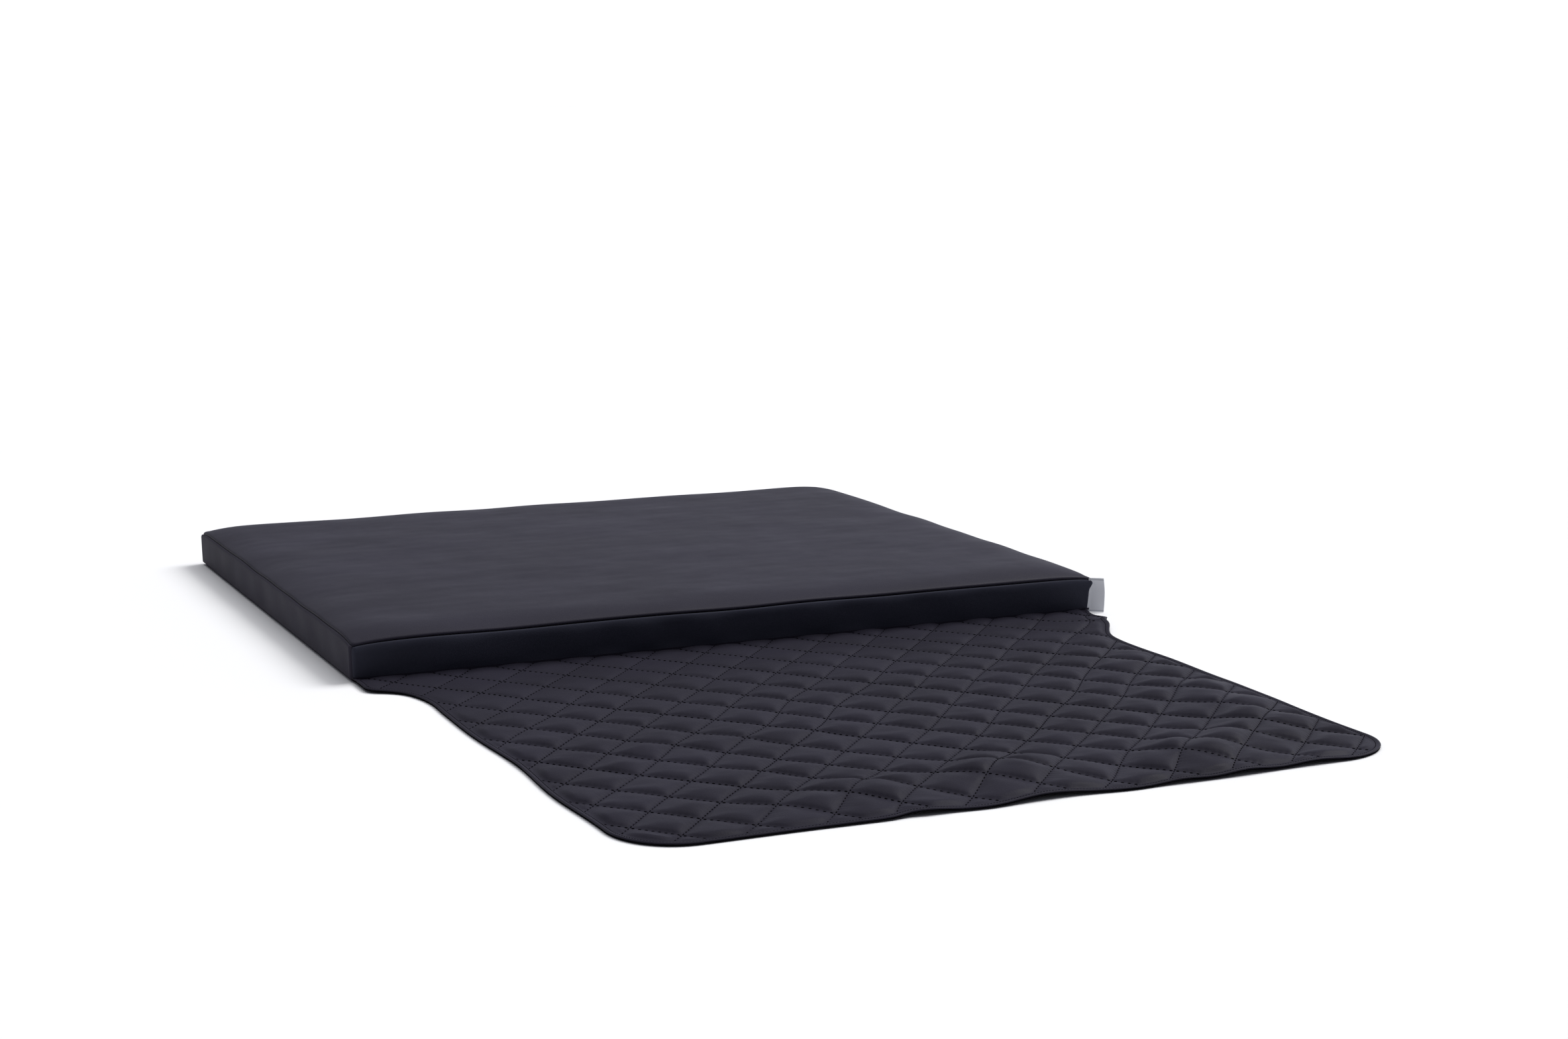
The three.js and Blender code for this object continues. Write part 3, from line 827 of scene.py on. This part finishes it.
def capsules(name, spots, direction, length, width, height, material, up=(0, 0, 1)):
    """Short rounded stitches: one at each spot, lying along its direction, its height along up."""
    sides = 6
    rings = [(-0.5, 0.15), (-0.36, 0.8), (0, 1.0), (0.36, 0.8), (0.5, 0.15)]
    around = np.linspace(0, 2 * np.pi, sides, endpoint=False)
    side = np.cross(direction, np.array(up, float))
    side /= np.linalg.norm(side, axis=1)[:, None]
    above = np.cross(side, direction)
    points = []
    for share, size in rings:
        middle = spots + direction * (share * length)
        for angle in around:
            sideways = side * (math.cos(angle) * width / 2 * size)
            upwards = above * (math.sin(angle) * height / 2 * size)
            points.append(middle + sideways + upwards)
    points = np.stack(points, 1).reshape(-1, 3)
    faces = []
    for ring in range(len(rings) - 1):
        for k in range(sides):
            a = ring * sides + k
            b = ring * sides + (k + 1) % sides
            faces.append((a, b, b + sides, a + sides))
    one = np.array(faces)
    per = len(rings) * sides
    many = (one[None] + per * np.arange(len(spots))[:, None, None]).reshape(-1, 4)
    return make_piece(name, points, many, material)


def quilt_stitch_spots():
    """Flat places and directions of the quilting stitches."""
    spots, directions = [], []
    along = (np.arange(-16 * STITCHES, 30 * STITCHES) + 0.5) / STITCHES
    for sign in (1, -1):
        step = np.array([SIDE_X / 2, sign * SIDE_D / 2])
        for line in range(-30, 30):
            start = np.array([NODE_X, NODE_D]) + line * np.array([SIDE_X / 2, -sign * SIDE_D / 2])
            points = start + along[:, None] * step
            laid = np.stack(ungather(*points.T), 1)
            run = np.stack(ungather(*(points + 0.01 * step).T), 1) - laid
            spots.append(laid)
            directions.append(run / np.hypot(*run.T)[:, None])
    spots = np.concatenate(spots)
    directions = np.concatenate(directions)
    inside = (spots[:, 1] > 0) & (spots[:, 1] < REACH)
    inside &= np.abs(spots[:, 0]) < RISER_HALF
    spots, directions = spots[inside], directions[inside]
    ds, xs = apron_outline(TOPSTITCH + 1.5 * MM)
    inside = np.abs(spots[:, 0]) < np.interp(spots[:, 1], ds, xs)
    inside &= spots[:, 1] < REACH - TOPSTITCH - 1.5 * MM
    return spots[inside], directions[inside]


def on_face(flat):
    """The laid place of points of the flat pattern, on the quilted face."""
    x, d = flat.T
    height = lift(x, d) + thickness(x, d, distance_inside(x, d))
    return np.stack([*lay(x, d), height], 1)


def add_quilt_stitches():
    flat, direction = quilt_stitch_spots()
    middle = on_face(flat)
    ahead = on_face(flat + direction * 1.5 * MM)
    behind = on_face(flat - direction * 1.5 * MM)
    run = ahead - behind
    run /= np.linalg.norm(run, axis=1)[:, None]
    near = flat[:, 1] < SPLIT_D
    for part, chosen in [("near", near), ("main", ~near)]:
        spots = middle[chosen] + np.array([0, 0, 0.5 * MM])
        piece = capsules(f"quilt_stitches_{part}", spots, run[chosen], 3.4 * MM, 1.35 * MM, 0.95 * MM, THREAD)
        bend(piece)


def outline_path(inset, pitch):
    """Points pitch apart round the apron's edge, inset from it, with their directions."""
    ds, xs = apron_outline(inset)
    right = np.stack([xs, ds], 1)[ds > 8 * MM]
    right = np.concatenate([[[xs[0], 8 * MM]], right, [[0, REACH - inset]]])
    path = np.concatenate([right * [-1, 1], right[::-1][1:]])
    steps = np.hypot(*np.diff(path, axis=0).T)
    run = np.concatenate([[0], np.cumsum(steps)])
    at = np.arange(pitch, run[-1], pitch)
    points = np.stack([np.interp(at, run, path[:, 0]), np.interp(at, run, path[:, 1])], 1)
    along = np.gradient(points, axis=0)
    return points, along / np.hypot(*along.T)[:, None]


def add_topstitch():
    flat, direction = outline_path(TOPSTITCH, 3.4 * MM)
    x, d = flat.T
    middle = np.stack([*lay(x, d), lift(x, d) + 2.95 * MM], 1)
    run = np.stack([direction[:, 0], -direction[:, 1], np.gradient(middle[:, 2]) / (3.4 * MM)], 1)
    run /= np.linalg.norm(run, axis=1)[:, None]
    near = d < SPLIT_D
    for part, chosen in [("near", near), ("main", ~near)]:
        piece = capsules(f"edge_stitches_{part}", middle[chosen], run[chosen], 2.1 * MM, 0.8 * MM, 0.5 * MM,
                         THREAD)
        bend(piece)


# ---------------------------------------------------------------- zip, label

def woven_label_material():
    """Silver-grey woven satin: fine ribs down the tape, and a plain border line near its two edges."""
    n = Nodes("woven_label")
    where = n.add("ShaderNodeUVMap", uv_map="flat").outputs[0]
    parts = n.add("ShaderNodeSeparateXYZ", {"Vector": where}).outputs
    ribs = n.math("SINE", n.math("MULTIPLY", parts[1], 2 * math.pi / (0.55 * MM)))
    floats = n.math("SINE", n.math("MULTIPLY", parts[0], 2 * math.pi / (0.4 * MM)))
    weave = n.math("ADD", ribs, n.math("MULTIPLY", floats, 0.5))
    from_middle = n.math("ABSOLUTE", n.math("SUBTRACT", parts[1], LABEL_HEIGHT / 2))
    border = n.math("COMPARE", from_middle, LABEL_HEIGHT / 2 - 2.2 * MM, 0.35 * MM)
    shade = n.mix_colour(n.ramp(weave, -1.5, 1.5), linear(196, 198, 204), linear(228, 230, 236))
    n.put(n.surface, "Base Color", n.mix_colour(border, shade, linear(160, 162, 170)))
    n.surface.inputs["Roughness"].default_value = 0.42
    n.surface.inputs["Sheen Weight"].default_value = 0.2
    n.put(n.surface, "Normal", n.bump(weave, 0.05 * MM))
    return n.material


LABEL_HEIGHT = 45.5 * MM
LABEL_LENGTH = 19 * MM


def add_label():
    """A woven tape folded into a loop, its two ends caught in the corner seam."""
    out = np.concatenate([np.linspace(-8, 18, 14), 18.6 + 0.4 * np.sin(np.radians(np.linspace(0, 180, 5)))])
    layer = np.concatenate([np.full(14, -0.5), -0.5 * np.cos(np.radians(np.linspace(0, 180, 5)))])
    out = np.concatenate([out, np.linspace(18, -8, 14)]) * MM
    layer = np.concatenate([layer, np.full(14, 0.5)]) * MM
    run = np.concatenate([[0], np.cumsum(np.hypot(np.diff(out), np.diff(layer)))])
    inner = np.sign(layer) * np.maximum(np.abs(layer) - 0.32 * MM, 0)
    up = np.linspace(0, LABEL_HEIGHT, 16)
    shells = []
    for depth, reach in ((layer, out), (inner, np.minimum(out, 18.4 * MM))):
        caught = 0.3 + 0.7 * (1 - up / LABEL_HEIGHT)  # the seam holds more of it further down
        x = np.where(reach < 0, reach * caught[:, None], reach)
        z = up[:, None] * (1 - 0.04 * x / LABEL_LENGTH)
        swing = 0.66 * (1 - z / LABEL_HEIGHT) * (x > 0)
        bow = 1.6 * MM * (x / LABEL_LENGTH) ** 2 * np.cos(3.4 * z / LABEL_HEIGHT + 0.4)
        y = depth[None] + bow - np.sin(swing) * x
        shells.append(np.stack([HALF_WIDTH + np.cos(swing) * x, FRONT + y, 0.6 * MM + z], -1).reshape(-1, 3))
    grid = np.arange(len(up) * len(out)).reshape(len(up), len(out))
    quads = grid_faces(*grid.shape)
    faces = [quads[:, ::-1], quads + grid.size]
    for line, step in [(grid[0], -1), (grid[-1], 1), (grid[:, 0], 1), (grid[:, -1], -1)]:
        side = np.stack([line[:-1], line[1:], line[1:] + grid.size, line[:-1] + grid.size], 1)
        faces.append(side[:, ::step])
    flat = np.stack(np.broadcast_arrays(run[None], up[:, None]), -1).reshape(-1, 2)
    label = make_piece("woven_label", np.concatenate(shells), np.concatenate(faces), woven_label_material(),
                       np.concatenate([flat, flat]))
    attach(label, "mattress")
    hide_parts("side_label")


TEETH_PITCH = 1.6 * MM


def add_teeth(part, shift, rise):
    """One row of teeth, moved along the zip by a share of their pitch and up by rise."""
    low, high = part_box(f"zip_coil_{part}")
    x = np.arange(low.x + 1 * MM, high.x - 1 * MM, TEETH_PITCH) + shift * TEETH_PITCH
    z = (low.z + high.z) / 2 + rise
    spots = np.stack([x, np.full(x.shape, (low.y + high.y) / 2), np.full(x.shape, z)], 1)
    leaning = np.array([0.22, 0, 1.0]) / math.hypot(0.22, 1.0)
    directions = np.tile(leaning, (len(x), 1))
    teeth = capsules(f"zip_teeth_{part}", spots, directions, 3.4 * MM, 1.15 * MM, 1.9 * MM, NYLON,
                     up=(0, 1, 0))
    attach(teeth, "mattress")
    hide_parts(f"zip_coil_{part}")


def add_tape(part):
    low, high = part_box(f"zip_tape_{part}")
    x, z = np.meshgrid(np.linspace(low.x, high.x, 220), np.linspace(low.z, high.z, 7))
    y = high.y - 0.25 * MM + 0.12 * MM * ripple(x, z, 0.05, 61)
    tape = make_piece(f"zip_tape_cloth_{part}", np.stack([x, y, z], -1), grid_faces(*x.shape)[:, ::-1], TAPE,
                      np.stack([x, z], -1).reshape(-1, 2))
    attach(tape, "mattress")
    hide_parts(f"zip_tape_{part}")


def add_zip():
    for part, shift, rise in [("upper", 0.0, -0.35 * MM), ("lower", 0.5, 0.35 * MM)]:
        add_teeth(part, shift, rise)
        add_tape(part)


def dress_frame_nodes():
    """Better surfaces for the frame's own pieces that stay in view."""
    looks = {"zip_stop_left": METAL, "zip_stop_right": METAL, "zip_slider": METAL, "zip_pull": METAL,
             "apron_seam_strip": QUILT, "foam_core": BACKING}
    for name, material in looks.items():
        slots = frame["nodes"][name].data.materials
        if len(slots):
            slots[0] = material
        else:
            slots.append(material)


# ---------------------------------------------------------------- studio

AMBIENT = 0.2
BACKDROP_GLOW = 0.72
SEEN_BACKDROP = 1.3  # what the camera itself sees of the backdrop
GLOW_SIDE = (0.79, 0.62, 0.0)  # where the backdrop is brightest: behind the object and to the right


def add_studio():
    floor = make_piece("studio_floor", [(-60, -60, 0), (60, -60, 0), (60, 60, 0), (-60, 60, 0)],
                       np.array([[0, 1, 2, 3]]), floor_material())
    floor.location.z = -0.05 * MM
    add_sun("key", (0.9, 0.15, 1.0), 35, 2.3)
    add_sun("top", (0.1, 0.15, 1.0), 70, 1.35)
    add_backdrop()


def add_backdrop():
    """A plain white surround to look at, whose own light is dim except low down on its bright side."""
    world = bpy.data.worlds.new("studio")
    bpy.context.scene.world = world
    world.use_nodes = True
    tree = world.node_tree
    shade = tree.nodes["Background"]
    shade.inputs["Color"].default_value = (0.92, 0.94, 1.1, 1)
    direction = tree.nodes.new("ShaderNodeTexCoord").outputs["Generated"]
    parts = tree.nodes.new("ShaderNodeSeparateXYZ")
    tree.links.new(direction, parts.inputs[0])
    sideways = tree.nodes.new("ShaderNodeVectorMath")
    sideways.operation = "DOT_PRODUCT"
    sideways.inputs[1].default_value = GLOW_SIDE
    tree.links.new(direction, sideways.inputs[0])
    glow = world_ramp(tree, sideways.outputs["Value"], 0.5, 1.0, 0.0, BACKDROP_GLOW)
    low_glow = world_ramp(tree, parts.outputs["Z"], 0.5, 0.12, 0.0, glow)
    lighting = tree.nodes.new("ShaderNodeMath")
    lighting.inputs[1].default_value = AMBIENT
    tree.links.new(low_glow, lighting.inputs[0])
    seen = tree.nodes.new("ShaderNodeLightPath").outputs["Is Camera Ray"]
    level = world_ramp(tree, seen, 0, 1, lighting.outputs[0], SEEN_BACKDROP)
    tree.links.new(level, shade.inputs["Strength"])


def world_ramp(tree, value, start, end, low, high):
    """A value that goes from low to high as another goes from start to end."""
    node = tree.nodes.new("ShaderNodeMapRange")
    inputs = {"Value": value, "From Min": start, "From Max": end, "To Min": low, "To Max": high}
    for socket, given in inputs.items():
        if isinstance(given, bpy.types.NodeSocket):
            tree.links.new(given, node.inputs[socket])
        else:
            node.inputs[socket].default_value = given
    return node.outputs[0]


def floor_material():
    n = Nodes("studio_floor")
    n.surface.inputs["Base Color"].default_value = (0.87, 0.87, 0.87, 1)
    n.surface.inputs["Roughness"].default_value = 1.0
    n.surface.inputs["Specular IOR Level"].default_value = 0.0
    return n.material


def add_sun(name, towards, softness, strength):
    """Even light from the direction towards; softness is the light's width in degrees."""
    light = bpy.data.lights.new(name, "SUN")
    light.angle = math.radians(softness)
    light.energy = strength
    lamp = bpy.data.objects.new(name, light)
    lamp.rotation_mode = "QUATERNION"
    lamp.rotation_quaternion = Vector(towards).to_track_quat("Z", "Y")
    bpy.context.scene.collection.objects.link(lamp)


CAMERA_AZIMUTH = math.radians(-24.265)
CAMERA_ELEVATION = math.radians(9.633)
CAMERA_FROM_CORNER = Vector((-0.7587, -2.9147, 0.6982))  # the corner is the mattress's front left one
FOCAL_LENGTH = 59.73


def add_camera():
    level = math.cos(CAMERA_ELEVATION)
    back = Vector((math.sin(CAMERA_AZIMUTH) * level, -math.cos(CAMERA_AZIMUTH) * level,
                   math.sin(CAMERA_ELEVATION)))
    lens = bpy.data.cameras.new("camera")
    lens.lens = FOCAL_LENGTH
    lens.sensor_width = 36
    lens.clip_end = 200
    camera = bpy.data.objects.new("camera", lens)
    camera.location = Vector((-HALF_WIDTH, FRONT, 0)) + CAMERA_FROM_CORNER
    camera.rotation_mode = "QUATERNION"
    camera.rotation_quaternion = (-back).to_track_quat("-Z", "Y")
    bpy.context.scene.collection.objects.link(camera)
    bpy.context.scene.camera = camera
    bpy.context.scene.view_settings.view_transform = "Standard"


add_camera()
RELIEF = simulate_patch()
add_top()
add_base()
add_sides()
add_apron()
add_quilt_stitches()
add_topstitch()
add_zip()
add_label()
dress_frame_nodes()
add_studio()
